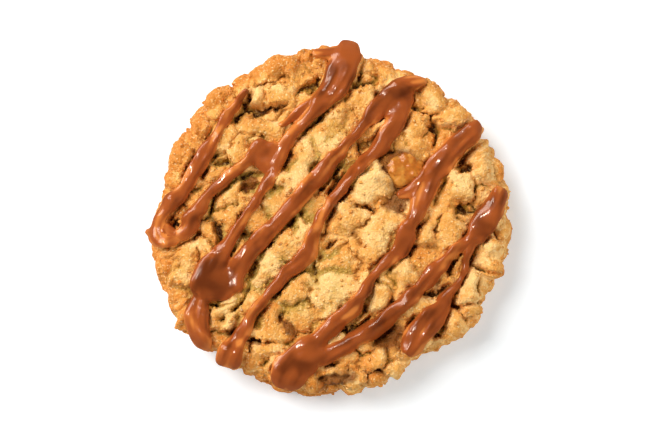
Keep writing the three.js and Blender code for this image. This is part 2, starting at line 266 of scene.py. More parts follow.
def markAt(tree, name):
    return addNode(tree, "ShaderNodeAttribute", attribute_name=name).outputs["Fac"]


def writeMarks(mesh, marks):
    for name, values in marks.items():
        mark = mesh.attributes.new(name, "FLOAT", "POINT")
        mark.data.foreach_set("value", np.asarray(values, np.float32))


# the tree's inputs are named as in the piece's settings
def newTree(name, settings):
    tree = bpy.data.node_groups.new(name, "GeometryNodeTree")
    kinds = {label: "Int" if isinstance(value, int) else "Float" for label, value in settings.items()}
    for label, kind in {"Geometry": "Geometry", **kinds, "Material": "Material"}.items():
        tree.interface.new_socket(label, in_out="INPUT", socket_type="NodeSocket" + kind)
    tree.interface.new_socket("Geometry", in_out="OUTPUT", socket_type="NodeSocketGeometry")
    given = tree.nodes.new("NodeGroupInput").outputs
    result = tree.nodes.new("NodeGroupOutput").inputs["Geometry"]
    return tree, given, result


def dressTree(tree, geometry, material, result):
    smooth = addNode(tree, "GeometryNodeSetShadeSmooth", {"Geometry": geometry}).outputs["Geometry"]
    dressed = addNode(tree, "GeometryNodeSetMaterial", {"Geometry": smooth, "Material": material})
    tree.links.new(dressed.outputs["Geometry"], result)


def addTree(obj, tree, values):
    modifier = obj.modifiers.new(tree.name, "NODES")
    modifier.node_group = tree
    for item in tree.interface.items_tree:
        if item.in_out == "INPUT" and item.name in values:
            modifier[item.identifier] = values[item.name]


def finishPiece(obj, replaced=None):
    moveBy = Matrix.Translation((-cookieForm["middle"][0], -cookieForm["middle"][1], 0))
    obj.data.transform(Matrix.Scale(mm, 4) @ moveBy)
    obj.data.update()
    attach(obj, "root")
    if replaced:
        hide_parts(replaced)
    obj.data.calc_loop_triangles()
    print(obj.name, "done,", len(obj.data.loop_triangles), "triangles")


# colours are given as they look in a picture, 0 to 255
def tint(red, green, blue):
    def linear(value):
        share = value / 255
        return share / 12.92 if share <= 0.04045 else ((share + 0.055) / 1.055) ** 2.4
    return (linear(red), linear(green), linear(blue), 1)


def mixColor(tree, factor, first, second):
    inputs = {"Factor": factor, "A": first, "B": second}
    return socketNamed(addNode(tree, "ShaderNodeMix", inputs, data_type="RGBA").outputs, "Result")


def newMaterial(name):
    material = bpy.data.materials.new(name)
    material.use_nodes = True
    tree = material.node_tree
    return material, tree, tree.nodes["Principled BSDF"]


def placeInMm(tree):
    place = addNode(tree, "ShaderNodeTexCoord").outputs["Object"]
    return vectorCalc(tree, "SCALE", place, 1 / mm)


def bumped(tree, height, strength, distance):
    inputs = {"Height": height, "Strength": strength, "Distance": distance * mm}
    return addNode(tree, "ShaderNodeBump", inputs).outputs["Normal"]


def newShaderGroup(name, inputs, outputs):
    group = bpy.data.node_groups.new(name, "ShaderNodeTree")
    for label, kind in inputs.items():
        group.interface.new_socket(label, in_out="INPUT", socket_type="NodeSocket" + kind)
    for label, kind in outputs.items():
        group.interface.new_socket(label, in_out="OUTPUT", socket_type="NodeSocket" + kind)
    return group, group.nodes.new("NodeGroupInput").outputs, group.nodes.new("NodeGroupOutput").inputs


def groupNode(tree, group, inputs):
    node = tree.nodes.new("ShaderNodeGroup")
    node.node_tree = group
    feedAll(tree, node.inputs, inputs)
    return node.outputs


def dressShader(tree, shader, subsurface, inputs):
    share, radius, depth = subsurface
    under = {"Subsurface Weight": share, "Subsurface Radius": radius, "Subsurface Scale": depth * mm}
    feedAll(tree, shader.inputs, {**inputs, **under})


# in the looks below a noise is given as length, detail and roughness, a ramp as its two ends
grainLook = {
    "wide": (7.0, 3.0, 0.55), "narrow": (2.4, 3.0, 0.6), "narrowShare": 0.5,
    "sand": (1.6, 3.0, 0.6), "sandShare": 0.35, "glints": (1.0, 1.0, 0.4), "glintFrom": (0.6, 0.75),
    "granuleHeight": 0.5, "grainHeight": 0.4,
}


# grain of a baked crumb: tone that drifts, sandy grain, granules and a mask for painted glints
def makeCrumbGrain():
    look = grainLook
    group, given, result = newShaderGroup(
        "crumbGrain",
        {"Place": "Vector", "Grain Length": "Float"},
        {"Drift": "Float", "Grain": "Float", "Glints": "Float", "Height": "Float"},
    )
    place = given["Place"]
    drift = noiseAt(group, place, *look["wide"])
    drift = calc(group, "MULTIPLY_ADD", noiseAt(group, place, *look["narrow"]), look["narrowShare"], drift)
    drift = calc(group, "SUBTRACT", drift, look["narrowShare"] / 2)
    finePlace = scaledBy(group, place, given["Grain Length"])
    sand = centred(group, cellsAt(group, finePlace, 1.0, result="Color"))
    grain = calc(group, "MULTIPLY_ADD", sand, look["sandShare"], noiseAt(group, finePlace, *look["sand"]))
    glints = ramp(group, noiseAt(group, finePlace, *look["glints"]), *look["glintFrom"])
    granules = calc(group, "SUBTRACT", 1.0, cellsAt(group, finePlace, 1.0))
    height = calc(group, "MULTIPLY", grain, look["grainHeight"])
    height = calc(group, "MULTIPLY_ADD", granules, look["granuleHeight"], height)
    feedAll(group, result, {"Drift": drift, "Grain": grain, "Glints": glints, "Height": height})
    return group


crumbGrain = makeCrumbGrain()

doughLook = {
    "plate": tint(252, 204, 130), "golden": tint(232, 164, 80), "toasted": tint(214, 132, 52),
    # the gap colours are moist crumb darkened with painted shade; the darkest of them is painted shade deep
    # in the gaps
    "gap": tint(150, 90, 28), "paintedGapShade": tint(68, 33, 9), "moist": tint(160, 120, 40),
    "damp": tint(180, 148, 68), "soaked": tint(112, 54, 13), "speck": tint(200, 134, 58),
    "glint": tint(255, 232, 176),
    "drift": 2.2, "browning": (11.0, 2.0, 0.5), "browningReach": 9.0, "rim": (42.0, 50.0), "rimToast": 0.15,
    "brownSide": (-0.55, 0.83, 0), "brownFrom": (10.0, 42.0), "brownToast": 0.7,
    # painted light: the rim on the side away from the key lamp is painted paler, as if lit
    "paleSide": (0.8, -0.35, 0), "paleFrom": (4.0, 30.0), "paleToast": -0.6,
    "wall": (10.5, 4.0), "wallToast": 0.3, "ridge": (-0.2, -1.0), "ridgeToast": 0.6,
    # the golden colour laid into creases between crumbs is painted shade
    "goldenFrom": (0.0, 0.6), "toastedFrom": (0.55, 1.15), "creaseShadeFrom": (0.0, 1.0), "creaseShadeShare": 0.5,
    "moistNoise": (9.0, 1.0, 0.5), "moistFrom": (0.4, 0.54),
    "dampMiddle": (-12, -3, 0), "dampReach": (40, 16), "dampShare": 0.9, "dampFrom": (-0.4, 0.15),
    "gapFrom": (0.1, 0.8), "deepShadeFrom": (0.55, 1.2), "soakShare": 0.85, "wetFrom": (0.2, 0.9),
    "paleGrain": (0.5, 0.8), "darkGrain": (0.48, 0.2), "grainShare": 0.42,
    "glintFrom": (0.5, 0.0), "glintShare": 0.55, "grainLength": 0.62, "bump": (0.85, 0.65),
    "roughness": (0.85, 0.5), "specular": 0.22, "subsurface": (0.06, (1.0, 0.5, 0.2), 0.8),
}


def makeDoughMaterial():
    look = doughLook
    material, tree, shader = newMaterial("bakedDough")
    place = placeInMm(tree)
    grain = groupNode(tree, crumbGrain, {"Place": place, "Grain Length": look["grainLength"]})
    hollow, crease, tone, soak = (markAt(tree, name) for name in ("hollow", "crease", "tone", "soak"))
    apart = addNode(tree, "ShaderNodeSeparateXYZ", {"Vector": place}).outputs
    flatPlace = addNode(tree, "ShaderNodeCombineXYZ", {"X": apart["X"], "Y": apart["Y"]}).outputs["Vector"]
    reach = vectorCalc(tree, "LENGTH", flatPlace, result="Value")
    browning = noiseAt(tree, place, *look["browning"])
    rim = ramp(tree, calc(tree, "MULTIPLY_ADD", browning, look["browningReach"], reach), *look["rim"])

    def rimSide(name):
        facing = vectorCalc(tree, "DOT_PRODUCT", place, look[name + "Side"], result="Value")
        return calc(tree, "MULTIPLY", ramp(tree, facing, *look[name + "From"]), rim)

    toast = calc(tree, "MULTIPLY_ADD", centred(tree, grain["Drift"]), look["drift"], tone)
    # the pale side takes toast away, which is painted light on the rim that faces away from the key lamp
    toasted = {
        "rim": rim, "brown": rimSide("brown"), "pale": rimSide("pale"),
        "wall": ramp(tree, apart["Z"], *look["wall"]),
        "ridge": calc(tree, "MULTIPLY", ramp(tree, crease, *look["ridge"]), rim),
    }
    for name, share in toasted.items():
        toast = calc(tree, "MULTIPLY_ADD", share, look[name + "Toast"], toast)

    moist = ramp(tree, noiseAt(tree, place, *look["moistNoise"]), *look["moistFrom"])
    fromDamp = vectorCalc(tree, "DISTANCE", flatPlace, look["dampMiddle"], result="Value")
    damp = calc(tree, "MULTIPLY", moist, ramp(tree, fromDamp, *look["dampReach"], 0.0, look["dampShare"]))
    onTop = ramp(tree, hollow, *look["glintFrom"], 0.0, look["glintShare"])
    color = look["plate"]
    for share, over in (  # each colour lies over those before it
        (ramp(tree, toast, *look["goldenFrom"]), look["golden"]),
        (ramp(tree, toast, *look["toastedFrom"]), look["toasted"]),
        # painted shade: creases between crumbs darken to golden
        (ramp(tree, crease, *look["creaseShadeFrom"], 0.0, look["creaseShadeShare"]), look["golden"]),
        (calc(tree, "MULTIPLY", damp, ramp(tree, hollow, *look["dampFrom"])), look["damp"]),
        # in the gaps: moist crumb colour with painted shade, then painted shade alone where they are
        # deepest
        (ramp(tree, hollow, *look["gapFrom"]), mixColor(tree, moist, look["gap"], look["moist"])),
        (ramp(tree, hollow, *look["deepShadeFrom"]), look["paintedGapShade"]),
        (ramp(tree, grain["Grain"], *look["paleGrain"], 0.0, look["grainShare"]), look["plate"]),
        (ramp(tree, grain["Grain"], *look["darkGrain"], 0.0, look["grainShare"]), look["speck"]),
        # painted highlights: glints on the granules of the crumb tops
        (calc(tree, "MULTIPLY", grain["Glints"], onTop), look["glint"]),
        (calc(tree, "MULTIPLY", soak, look["soakShare"]), look["soaked"]),
    ):
        color = mixColor(tree, share, color, over)
    dressShader(tree, shader, look["subsurface"], {
        "Base Color": color, "Normal": bumped(tree, grain["Height"], *look["bump"]),
        "Roughness": ramp(tree, soak, *look["wetFrom"], *look["roughness"]),
        "Specular IOR Level": look["specular"],
    })
    return material


# profile of the round, from the middle of the crown over the rim to the heel
def roundProfile(steps=60):
    form = cookieForm
    radius, shoulder = form["radius"], form["radius"] - form["shoulderWidth"]
    crown, height, belly = form["crownHeight"], form["shoulderHeight"], form["bellyHeight"]
    bulge = form["shoulderBulge"]
    t = np.linspace(0, 1, steps)[:, None]

    def arc(a, b, c):
        return (1 - t) ** 2 * a + 2 * t * (1 - t) * b + t**2 * c

    top = arc(np.array([0, crown]), np.array([shoulder / 2, crown]), np.array([shoulder, height]))
    handleTop = np.array([shoulder + form["shoulderWidth"] * bulge["out"], height * bulge["top"]])
    handleSide = np.array([radius, height * bulge["side"]])
    start, end = np.array([shoulder, height]), np.array([radius, belly])
    side = (1 - t) ** 3 * start + 3 * t * (1 - t) ** 2 * handleTop
    side = side + 3 * t**2 * (1 - t) * handleSide + t**3 * end
    heel = arc(end, np.array([radius, 0]), np.array([radius - form["heelWidth"], 0]))
    return np.concatenate([top, side[1:], heel[1:]])


profile = roundProfile()


def swellAt(around, radius):
    degrees = np.degrees(around)
    swell = 0
    for angle, spread, far in cookieForm["swells"]:
        apart = (degrees - angle + 180) % 360 - 180
        swell = swell + far * np.exp(-((apart / spread) ** 2))
    return swell * (radius / cookieForm["radius"]) ** cookieForm["swellPower"]


# crags: the main ones above, a crowd along the rim, small ones in the gaps and lumps on the wall
cragRule = {
    "rimCrags": 38, "rimStray": 1.0, "rimInset": (0.8, 4.6), "rimLength": (6, 12), "rimWidth": (3.5, 6.5),
    "rimTone": (0.1, 0.65),
    "gapCrags": 80, "gapLength": (5, 10), "gapSlimness": (0.6, 0.95), "gapTone": (0.35, 0.9),
    "gapReach": 0.95, "seed": 20261,
    "wallLumps": 60, "wallReach": (46, 50), "wallLength": (5, 9), "wallWidth": (3, 4.5),
    "wallTone": (0.5, 0.9), "wallSeed": 915,
}


def allCrags():
    rule, radius = cragRule, cookieForm["radius"]
    draws = seededRandom(rule["seed"])

    def between(span):
        return span[0] + (span[1] - span[0]) * next(draws)

    crags = [("main", *row) for row in cragRows]
    for i in range(rule["rimCrags"]):
        angle = 360 / rule["rimCrags"] * (i + rule["rimStray"] * next(draws))
        around = math.radians(angle)
        reach = radius + swellAt(around, radius) - between(rule["rimInset"])
        x, y = reach * math.cos(around), reach * math.sin(around)
        length, width = between(rule["rimLength"]), between(rule["rimWidth"])
        crags.append(("rim", x, y, length, width, angle + 90, between(rule["rimTone"])))
    goldenAngle = math.pi * (3 - math.sqrt(5))
    for i in range(rule["gapCrags"]):
        reach = radius * rule["gapReach"] * math.sqrt((i + next(draws)) / rule["gapCrags"])
        x, y = reach * math.cos(goldenAngle * i), reach * math.sin(goldenAngle * i)
        length = between(rule["gapLength"])
        width = length * between(rule["gapSlimness"])
        turn = 180 * next(draws)
        crags.append(("gap", x, y, length, width, turn, between(rule["gapTone"])))
    draws = seededRandom(rule["wallSeed"])
    for i in range(rule["wallLumps"]):
        around = 2 * math.pi * (i + next(draws)) / rule["wallLumps"]
        reach = between(rule["wallReach"])
        x, y = reach * math.cos(around), reach * math.sin(around)
        length, width = between(rule["wallLength"]), between(rule["wallWidth"])
        crags.append(("wall", x, y, length, width, math.degrees(around) + 90, between(rule["wallTone"])))
    return crags + [("main", *row) for row in edgeCragRows]


gapRows = [  # deep dark gaps between the plates: x, y, length, width, turn
    (-5.6, 35.4, 7, 2.4, 40), (-22.7, 27.2, 6, 2.4, 20), (-27.4, 25.4, 3, 1.8, 60),
    (-13.2, 30.6, 5, 2, 10), (-18.4, 29.2, 8, 3, 15), (-27.4, 15.2, 5, 2.2, 10), (-21.1, 8.4, 4, 2, 20),
    (-19.6, 11.8, 8, 2.6, 10), (10.1, 20.4, 8, 3.4, 45), (1.4, 10, 9, 2.4, 45), (35.5, 14.4, 3, 5, 20),
    (36, 3.1, 6, 1.8, -8), (27.6, 22.3, 2, 5, 10), (10.6, 3.7, 5, 1.6, -20), (0.7, -5.8, 4, 1.8, 15),
    (-19.8, -12, 3, 5, -15), (-41, -0.8, 3, 2.6, 40), (-29, -2.6, 2, 5, 20), (-29, -21.4, 7, 1.6, -5),
    (-18.8, -31.7, 5, 2.2, -15), (-25.5, -28.3, 2.4, 3, 0), (39.7, -12.8, 4, 1.8, -30),
    (26, -19.7, 5, 3.6, 30), (19.8, -9.2, 6, 2, 35), (7, -27.3, 7, 2.6, 25), (13.4, -29.9, 7, 5, 20),
    (31.8, -12, 5, 2.4, 50), (0, -40.3, 8, 3, 10), (28, -30.5, 4, 3, 30), (-17, -3.6, 8, 1.6, 50),
    (33.7, -22.6, 5, 1.6, -20), (29.9, -17.4, 4, 2.4, 40), (21.8, -27, 4, 2.2, 50),
    (38.8, -21.8, 3, 1.5, -60),
]

crackRows = [  # fine cracks, from point to point
    [(-7.9, 44.6), (-7.1, 41.6), (-5.2, 38.5), (-3.9, 36.6)],
    [(-21.4, 35.6), (-18.5, 36.9), (-15.3, 37.5), (-12, 38)], [(-16, 33.7), (-15.3, 31.2), (-14.1, 29.9)],
    [(-38.5, 19.1), (-40.4, 14.3), (-41.1, 11.2)], [(-33.9, 28.6), (-32.6, 27.2), (-30.3, 26.8)],
    [(8.3, 36.2), (11.2, 35.3), (13.4, 35.1)], [(4.5, 31.2), (5.1, 28.9)],
    [(25.5, 24.8), (27.4, 21.6), (27.7, 19.1)], [(39.1, 14.3), (40.1, 15.3), (42, 15.6)],
    [(37.8, 10.2), (41.3, 8), (42, 5.4)], [(33.5, 11.2), (36, 12.6), (37.4, 12.4)],
    [(5.8, 5.1), (9.9, 3.5), (11.8, 3.5)], [(-42.3, -17.5), (-40.1, -18.8), (-37.9, -20.4)],
    [(-34.7, -6.7), (-34.1, -9.6)], [(-15.7, -24.2), (-15.3, -26.1)], [(-11.9, -23.9), (-11.5, -25.4)],
    [(-17.9, -37.5), (-14.7, -36.6), (-13.1, -36.2)], [(28.6, 1.9), (28.9, -0.4)],
    [(39, -13), (41, -13.6)], [(-2.5, -26.1), (-0.6, -25.1)], [(15, -14.6), (15.9, -16.6)],
    [(12.6, -38.8), (13, -42)], [(24.6, 21.6), (26.4, 24.6), (29, 26)],
]

soakRows = [  # crumb that soaked up caramel and stays wet: x, y, length, width, turn
    (16.2, -30.6, 11, 8.5, 20), (2, -40.6, 11, 5, 10), (18.2, 13.2, 11.5, 14, -10), (17.8, 6, 9, 5.4, 30),
    (-10.4, -27.8, 2.6, 4.6, 0), (-20.8, 9.6, 5, 3, 20),
]

crustRule = {
    "spacing": 0.34,
    "top": {"main": 4.3, "rim": 3.2, "gap": 2.5, "wall": 2.3},  # how high the plates of each kind stand
    "uneven": {"main": 1.6, "rim": 1.8, "gap": 1.8, "wall": 1.8},
    "yield": {"main": 0.0, "rim": 0.4, "gap": 0.8, "wall": 0.4},  # how far they give way to others
    "corner": 2.5, "dome": 0.5, "tilt": 0.14, "plateReach": 1.3, "blend": 0.3, "farthest": 9,
    "shapeSeed": 77,
    "seamDepth": (0.25, 1.0), "seamWidth": 0.85, "seamLength": 5.5, "seamSeed": 41,
    "seamUneven": (-0.8, 1.6), "seamRim": (1.0, 28, 40), "shoulderDepth": 0.4, "shoulderWidth": 2.0,
    "lowest": -1.5,
    "warps": [(0.6, 4.2, 11), (0.22, 1.4, 23), (0.06, 0.7, 35)],  # how far, how long, seed
    "gapDepth": 2.6, "gapEdge": (0.4, 1.35), "crackDepth": 1.0, "crackWidth": 0.42, "soakEdge": (0.6, 1.15),
    "trenchDepth": 2.2, "trenchOut": 0.4, "trenchWidth": 1.0, "trenchLength": 6.0, "trenchSeed": 53,
    "trenchStep": 0.5, "trenchCore": 0.1, "trenchSide": (0.1, 0.8), "trenchUneven": (-0.9, 0.7),
    "rimShare": 0.7, "rimFrom": 41.5, "rimTo": 46.5, "heelFade": (4.2, 1.2),
}


# the crust is a disc of even triangles, in rings of 6, 12, 18 and so on, laid over the round like a cloth
def discGrid(rings, spacing):
    points = [np.zeros((1, 2))]
    faces = []
    for ring in range(1, rings + 1):
        around = np.arange(6 * ring) * (math.pi / 3 / ring)
        points.append(ring * spacing * np.stack([np.cos(around), np.sin(around)], axis=1))
    for ring in range(rings):
        inStart = 1 + 3 * ring * (ring - 1) if ring else 0
        outStart = 1 + 3 * ring * (ring + 1)
        side = np.arange(6)[:, None]
        i = np.arange(ring + 1)[None, :]

        def inner(step):
            return inStart + (side * ring + step) % max(1, 6 * ring)

        def outer(step):
            return outStart + (side * (ring + 1) + step) % (6 * (ring + 1))

        faces.append(np.stack([inner(i), outer(i), outer(i + 1)], axis=2).reshape(-1, 3))
        i = i[:, :ring]
        if ring:
            faces.append(np.stack([inner(i), outer(i + 1), inner(i + 1)], axis=2).reshape(-1, 3))
    return np.concatenate(points), np.concatenate(faces)


profileAlong = np.concatenate([[0], np.cumsum(np.linalg.norm(np.diff(profile, axis=0), axis=1))])


def overRound(flatX, flatY):
    reach, around = np.hypot(flatX, flatY), np.arctan2(flatY, flatX)
    radius = np.interp(reach, profileAlong, profile[:, 0])
    height = np.interp(reach, profileAlong, profile[:, 1])
    tangent = np.gradient(profile, profileAlong, axis=0)
    tangent /= np.linalg.norm(tangent, axis=1)[:, None]
    out = np.interp(reach, profileAlong, -tangent[:, 1])
    up = np.interp(reach, profileAlong, tangent[:, 0])
    radius = radius + swellAt(around, radius)
    side = np.stack([np.cos(around), np.sin(around)], axis=1)
    places = np.concatenate([side * radius[:, None], height[:, None]], axis=1)
    return places, np.concatenate([side * out[:, None], up[:, None]], axis=1)


def laidFlat(x, y):
    reach, around = math.hypot(x, y), math.atan2(y, x)
    upper = profile[:, 1] >= cookieForm["bellyHeight"]
    radius = reach - swellAt(around, min(reach, cookieForm["radius"]))
    flat = np.interp(radius, profile[upper, 0], profileAlong[upper])
    return flat * math.cos(around), flat * math.sin(around)


def easeBetween(value, low, high):
    t = np.clip((value - low) / (high - low), 0, 1)
    return t * t * (3 - 2 * t)


def blurGrid(grid, length, cell):
    frequency = np.fft.fftfreq(len(grid), cell)
    kernel = np.exp(-2 * (math.pi * length) ** 2 * (frequency[:, None] ** 2 + frequency[None, :] ** 2))
    return np.fft.ifft2(np.fft.fft2(grid) * kernel).real


gridRule = {"half": 60, "cells": 5, "blurs": 3, "edge": 1.001}  # cells and blurs to a wave's length


def sampleGrid(axis, grid, x, y):
    last = len(axis) - gridRule["edge"]
    u, v = (np.clip((place - axis[0]) / (axis[1] - axis[0]), 0, last) for place in (x, y))
    i, j = u.astype(int), v.astype(int)
    s, t = u - i, v - j
    return ((1 - s) * (1 - t) * grid[i, j] + s * (1 - t) * grid[i + 1, j]
            + (1 - s) * t * grid[i, j + 1] + s * t * grid[i + 1, j + 1])


def waves(length, seed, x, y):
    cell, half = length / gridRule["cells"], gridRule["half"]
    axis = np.arange(-half, half + cell, cell)
    field = np.random.default_rng(seed).normal(size=(len(axis), len(axis)))
    grid = blurGrid(field, length / gridRule["blurs"], cell)
    return sampleGrid(axis, grid / grid.std(), x, y)


def ovalReach(x, y, row, corner=2.0):
    atX, atY, length, width, turn = row
    cos, sin = math.cos(math.radians(turn)), math.sin(math.radians(turn))
    u = ((x - atX) * cos + (y - atY) * sin) * 2 / length
    v = ((y - atY) * cos - (x - atX) * sin) * 2 / width
    return u, v, (np.abs(u) ** corner + np.abs(v) ** corner) ** (1 / corner)


def crackReach(x, y, route):
    best = np.full(len(x), np.inf)
    for (ax, ay), (bx, by) in zip(route, route[1:]):
        dx, dy = bx - ax, by - ay
        t = np.clip(((x - ax) * dx + (y - ay) * dy) / (dx * dx + dy * dy), 0, 1)
        best = np.minimum(best, np.hypot(x - ax - t * dx, y - ay - t * dy))
    return best


routeRule = {"finePoints": 40, "leastPoints": 8}


def smoothRoute(stations, step):
    stations = np.array(stations, float)
    gaps = np.sqrt(np.linalg.norm(np.diff(stations, axis=0), axis=1))
    knots = np.concatenate([[0], np.cumsum(gaps)])
    slopes = np.gradient(stations, knots, axis=0)
    fine = np.linspace(0, knots[-1], routeRule["finePoints"] * len(stations))
    k = np.clip(np.searchsorted(knots, fine, side="right") - 1, 0, len(knots) - 2)
    span = (knots[k + 1] - knots[k])[:, None]
    t = ((fine - knots[k]) / (knots[k + 1] - knots[k]))[:, None]
    route = ((2 * t**3 - 3 * t**2 + 1) * stations[k] + (t**3 - 2 * t**2 + t) * span * slopes[k]
             + (3 * t**2 - 2 * t**3) * stations[k + 1] + (t**3 - t**2) * span * slopes[k + 1])
    along = np.concatenate([[0], np.cumsum(np.linalg.norm(np.diff(route[:, :2], axis=0), axis=1))])
    count = max(routeRule["leastPoints"], int(along[-1] / step))
    even = np.linspace(0, along[-1], count)
    return np.stack([np.interp(even, along, route[:, i]) for i in range(3)], axis=1), even


def headingOf(route):
    heading = np.gradient(route[:, :2], axis=0)
    return heading / np.linalg.norm(heading, axis=1)[:, None]


def treeOver(places):
    tree = KDTree(len(places))
    for i, (x, y) in enumerate(places):
        tree.insert((x, y, 0), i)
    tree.balance()
    return tree


# the dough sinks beside the strands on their lower right, where the melt bridges its gaps
def besideStrands(x, y):
    rule = crustRule
    routes = np.concatenate([smoothRoute(row, rule["trenchStep"])[0] for row in strandRows.values()])
    tree = treeOver(routes[:, :2])
    nearest = np.array([tree.find((px, py, 0))[1] for px, py in zip(x, y)])
    away = np.stack([x, y], axis=1) - routes[nearest, :2]
    distance = np.hypot(away[:, 0], away[:, 1])
    side = (away[:, 0] - away[:, 1]) / (math.sqrt(2) * np.maximum(distance, rule["trenchCore"]))
    beyond = distance - routes[nearest, 2] / 2
    trench = np.exp(-(((beyond - rule["trenchOut"]) / rule["trenchWidth"]) ** 2))
    trench *= easeBetween(side, *rule["trenchSide"])
    uneven = waves(rule["trenchLength"], rule["trenchSeed"], x, y)
    return trench * easeBetween(uneven, *rule["trenchUneven"])


# plates meet in seams, some faint and some deep; where two overlap, the one that reaches further shows
def crustShape(flatX, flatY):
    rule = crustRule
    x, y = flatX.copy(), flatY.copy()
    for far, length, seed in rule["warps"]:
        x += far * waves(length, seed, flatX, flatY)
        y += far * waves(length, seed + 1, flatX, flatY)
    nearest = np.full(len(x), float(rule["farthest"]))
    second = nearest.copy()
    weight, height, tone, soak = np.zeros((4, len(x)))
    draws = seededRandom(rule["shapeSeed"])
    for kind, atX, atY, length, width, turn, ownTone in allCrags():
        slopeU, slopeV, lift = (2 * next(draws) - 1 for draw in range(3))
        if kind != "wall":
            atX, atY = laidFlat(atX, atY)
        near = np.flatnonzero(np.hypot(x - atX, y - atY) < length / 2 + rule["farthest"])
        u, v, reach = ovalReach(x[near], y[near], (atX, atY, length, width, turn), rule["corner"])
        away = (reach - 1) * width / 2 + rule["yield"][kind]
        if kind == "main":
            lift = 1 - 2 * ownTone  # the palest plates stand highest
        inside = rule["plateReach"]
        u, v = (np.clip(across, -inside, inside) for across in (u, v))
        top = rule["top"][kind] + lift * rule["uneven"][kind] / 2
        top = top - rule["dome"] * np.minimum(reach, inside) ** 2
        top += rule["tilt"] * (slopeU * u * length + slopeV * v * width) / 2
        share = np.exp(-away / rule["blend"])
        weight[near] += share
        height[near] += share * top
        tone[near] += share * ownTone
        second[near] = np.minimum(second[near], np.maximum(away, nearest[near]))
        nearest[near] = np.minimum(nearest[near], away)
    height, tone, seam = height / weight, tone / weight, second - nearest
    deep = easeBetween(waves(rule["seamLength"], rule["seamSeed"], x, y), *rule["seamUneven"])
    depth = rule["seamDepth"][0] + (rule["seamDepth"][1] - rule["seamDepth"][0]) * deep
    more, start, end = rule["seamRim"]
    deeper = 1 + more * easeBetween(np.hypot(flatX, flatY), start, end)
    height -= deeper * depth * np.exp(-((seam / rule["seamWidth"]) ** 2))
    height -= deeper * rule["shoulderDepth"] * np.exp(-((seam / rule["shoulderWidth"]) ** 2))
    places = overRound(flatX, flatY)[0]
    height -= rule["trenchDepth"] * besideStrands(places[:, 0], places[:, 1])
    for row in gapRows:
        place = laidFlat(row[0], row[1])
        reach = ovalReach(x, y, (*place, *row[2:]))[2]
        height -= rule["gapDepth"] * easeBetween(reach, rule["gapEdge"][1], rule["gapEdge"][0])
    for route in crackRows:
        height -= rule["crackDepth"] * np.exp(-((crackReach(x, y, route) / rule["crackWidth"]) ** 2))
    for row in soakRows:
        reach = ovalReach(x, y, (*laidFlat(row[0], row[1]), *row[2:]))[2]
        soak = np.maximum(soak, easeBetween(reach, rule["soakEdge"][1], rule["soakEdge"][0]))
    return np.maximum(height, rule["lowest"]), {"tone": tone, "soak": soak}


def sunkAt(tree, place, normal, reach):
    inputs = {"Value": place, "Iterations": reach}
    blurred = addNode(tree, "GeometryNodeBlurAttribute", inputs, data_type="FLOAT_VECTOR")
    inwards = vectorCalc(tree, "SUBTRACT", socketNamed(blurred.outputs, "Value"), place)
    return vectorCalc(tree, "DOT_PRODUCT", inwards, normal, result="Value")


doughPiece = {
    "Swell Height": 0.45, "Swell Length": 3.0, "Knob Height": 0.3, "Knob Length": 1.4,
    "Grain Height": 0.45, "Grain Length": 0.9, "Plate Share": 0.35, "Rim Smooth": 1.1,
    "Gap Depth": 1.3, "Gap Reach": 50, "Crease Depth": 0.2, "Crease Reach": 6,
}

reliefRule = {
    "swell": (1.0, 1.0, 0.5), "grain": (1.0, 2.0, 0.6), "knobMiddle": 0.45, "knobFrom": (-0.25, 0.2),
    "heel": (0.4, 2.2), "rim": (37.0, 43.0),
}


# fine relief of the crust, with marks of how deep in a gap or between two crumbs each place lies
def makeReliefTree():
    rule = reliefRule
    tree, given, result = newTree("crustRelief", doughPiece)
    place = addNode(tree, "GeometryNodeInputPosition").outputs["Position"]
    normal = addNode(tree, "GeometryNodeInputNormal").outputs["Normal"]
    height = addNode(tree, "ShaderNodeSeparateXYZ", {"Vector": place}).outputs["Z"]
    hollow, crease = (
        calc(tree, "DIVIDE", sunkAt(tree, place, normal, given[name + " Reach"]), given[name + " Depth"])
        for name in ("Gap", "Crease")
    )
    knob = cellsAt(tree, scaledBy(tree, place, given["Knob Length"]), 1.0)
    knob = calc(tree, "SUBTRACT", rule["knobMiddle"], knob)
    knob = calc(tree, "MULTIPLY", knob, ramp(tree, hollow, *rule["knobFrom"], given["Plate Share"], 1.0))
    lift = calc(tree, "MULTIPLY", knob, given["Knob Height"])
    for name in ("Swell", "Grain"):
        wave = noiseAt(tree, scaledBy(tree, place, given[name + " Length"]), *rule[name.lower()])
        lift = calc(tree, "MULTIPLY_ADD", centred(tree, wave), given[name + " Height"], lift)
    lift = calc(tree, "MULTIPLY", lift, ramp(tree, height, *rule["heel"]))
    reach = vectorCalc(tree, "LENGTH", vectorCalc(tree, "MULTIPLY", place, (1, 1, 0)), result="Value")
    lift = calc(tree, "MULTIPLY", lift, ramp(tree, reach, *rule["rim"], 1.0, given["Rim Smooth"]))
    inputs = {"Geometry": given["Geometry"], "Offset": vectorCalc(tree, "SCALE", normal, lift)}
    shaped = addNode(tree, "GeometryNodeSetPosition", inputs).outputs["Geometry"]
    for name, value in (("hollow", hollow), ("crease", crease)):
        shaped = addNode(tree, "GeometryNodeStoreNamedAttribute", {
            "Geometry": shaped, "Name": name, "Value": value,
        }, data_type="FLOAT", domain="POINT").outputs["Geometry"]
    real = addNode(tree, "GeometryNodeRealizeInstances", {"Geometry": shaped}).outputs["Geometry"]
    dressTree(tree, real, given["Material"], result)
    return tree


